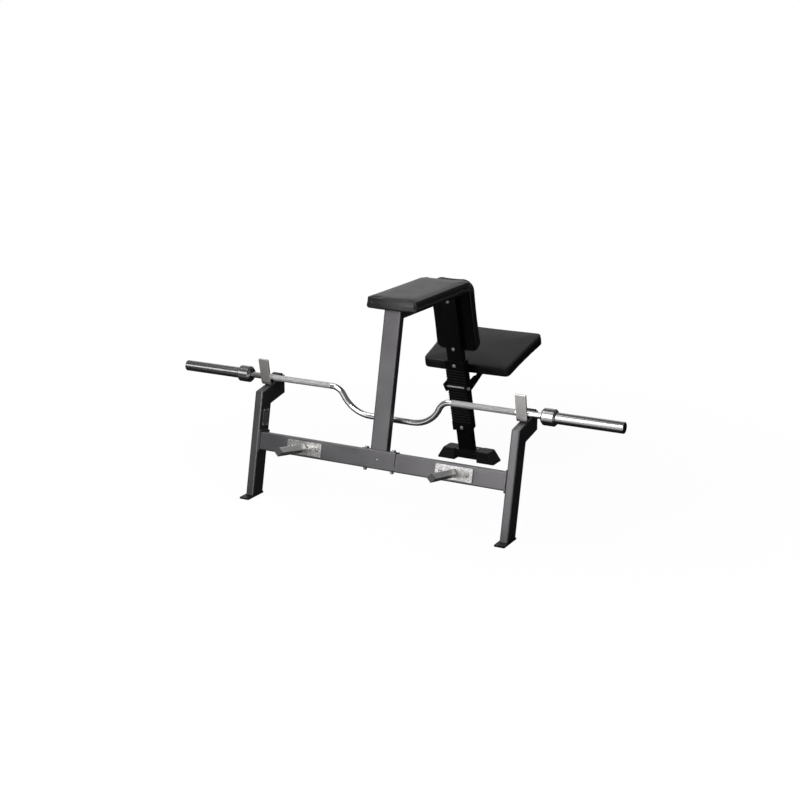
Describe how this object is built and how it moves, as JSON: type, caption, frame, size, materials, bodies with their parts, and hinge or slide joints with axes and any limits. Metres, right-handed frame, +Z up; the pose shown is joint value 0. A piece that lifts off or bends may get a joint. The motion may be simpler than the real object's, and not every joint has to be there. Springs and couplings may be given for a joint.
{
  "type": "seal row bench",
  "caption": "Prone rowing bench: leaning frame with bar hooks and plate pegs, chest and hip pads, rack-adjusted seat, and a cambered bar with turning sleeves.",
  "frame": {"origin": "on the floor, under the middle of the bench's bounding box", "axes": "+X to the right seen from the front, along the bar; +Y to the rear, where the seat is; +Z up"},
  "size_m": [2.2, 1.4842, 0.9693],
  "materials": {
    "frame_grey": "satin metallic grey powder coat",
    "frame_black": "satin black powder coat",
    "brushed_steel": "brushed",
    "polished_steel": "polished",
    "chrome": "bright chrome",
    "zinc": "zinc plated",
    "upholstery": "fine-grained black leatherette, stitched",
    "stained_board": "black-stained plywood",
    "rubber": "moulded, matt",
    "plastic": "moulded, matt",
    "bronze": "sintered bronze"
  },
  "bodies": {
    "frame": {"cross_beam": "frame_grey", "left_beam_end_plate": "frame_grey", "right_beam_end_plate": "frame_grey", "left_upright": "frame_grey", "right_upright": "frame_grey", "left_head": "frame_grey", "right_head": "frame_grey", "front_post": "frame_grey", "front_post_saddle": "frame_grey", "top_beam": "frame_grey", "rear_post": "frame_black", "rack": "frame_black", "left_foot_plate": "frame_black", "right_foot_plate": "frame_black", "rear_foot_bar": "frame_black", "foot_base_plate": "frame_black", "left_hook": "brushed_steel", "right_hook": "brushed_steel", "left_wear_plate": "polished_steel", "right_wear_plate": "polished_steel", "left_peg": "polished_steel", "right_peg": "polished_steel", "left_saddle_bolt": "zinc", "right_saddle_bolt": "zinc", "left_saddle_nut": "zinc", "right_saddle_nut": "zinc", "lower_rack_bolt": "zinc", "upper_rack_bolt": "zinc", "lower_hip_pad_bolt": "zinc", "upper_hip_pad_bolt": "zinc", "chest_pad_cushion": "upholstery", "hip_pad_cushion": "upholstery", "chest_pad_board": "stained_board", "hip_pad_board": "stained_board", "left_foot_block": "rubber", "right_foot_block": "rubber", "left_hook_liner": "plastic", "right_hook_liner": "plastic", "left_head_plug": "plastic", "right_head_plug": "plastic", "left_peg_plug": "plastic", "right_peg_plug": "plastic"},
    "seat_carriage": {"left_cheek": "frame_black", "right_cheek": "frame_black", "lock_rod": "zinc", "lock_rod_nut": "zinc", "guide_roller": "plastic", "guide_roller_pin": "zinc", "seat_plate": "frame_black", "seat_board": "stained_board", "seat_cushion": "upholstery"},
    "bar": {"bar_shaft": "chrome"},
    "left_sleeve_group": {"left_sleeve": "chrome", "left_inner_bush": "bronze", "left_outer_bush": "bronze", "left_sleeve_cap": "plastic"},
    "right_sleeve_group": {"right_sleeve": "chrome", "right_inner_bush": "bronze", "right_outer_bush": "bronze", "right_sleeve_cap": "plastic"}
  },
  "joints": [
    {"name": "seat_height", "type": "slide", "parent": "frame", "child": "seat_carriage", "axis": [0, -0.2756, 0.9613], "range_m": [-0.195, 0.075]},
    {"name": "bar_lift", "type": "slide", "parent": "frame", "child": "bar", "axis": [0, 0.2079, 0.9781], "range_m": [0, 0.25]},
    {"name": "left_sleeve_spin", "type": "hinge", "parent": "bar", "child": "left_sleeve_group", "pos_m": [-0.733, -0.39793, 0.53353], "axis": [1, 0, 0], "continuous": true},
    {"name": "right_sleeve_spin", "type": "hinge", "parent": "bar", "child": "right_sleeve_group", "pos_m": [0.733, -0.39793, 0.53353], "axis": [1, 0, 0], "continuous": true}
  ]
}
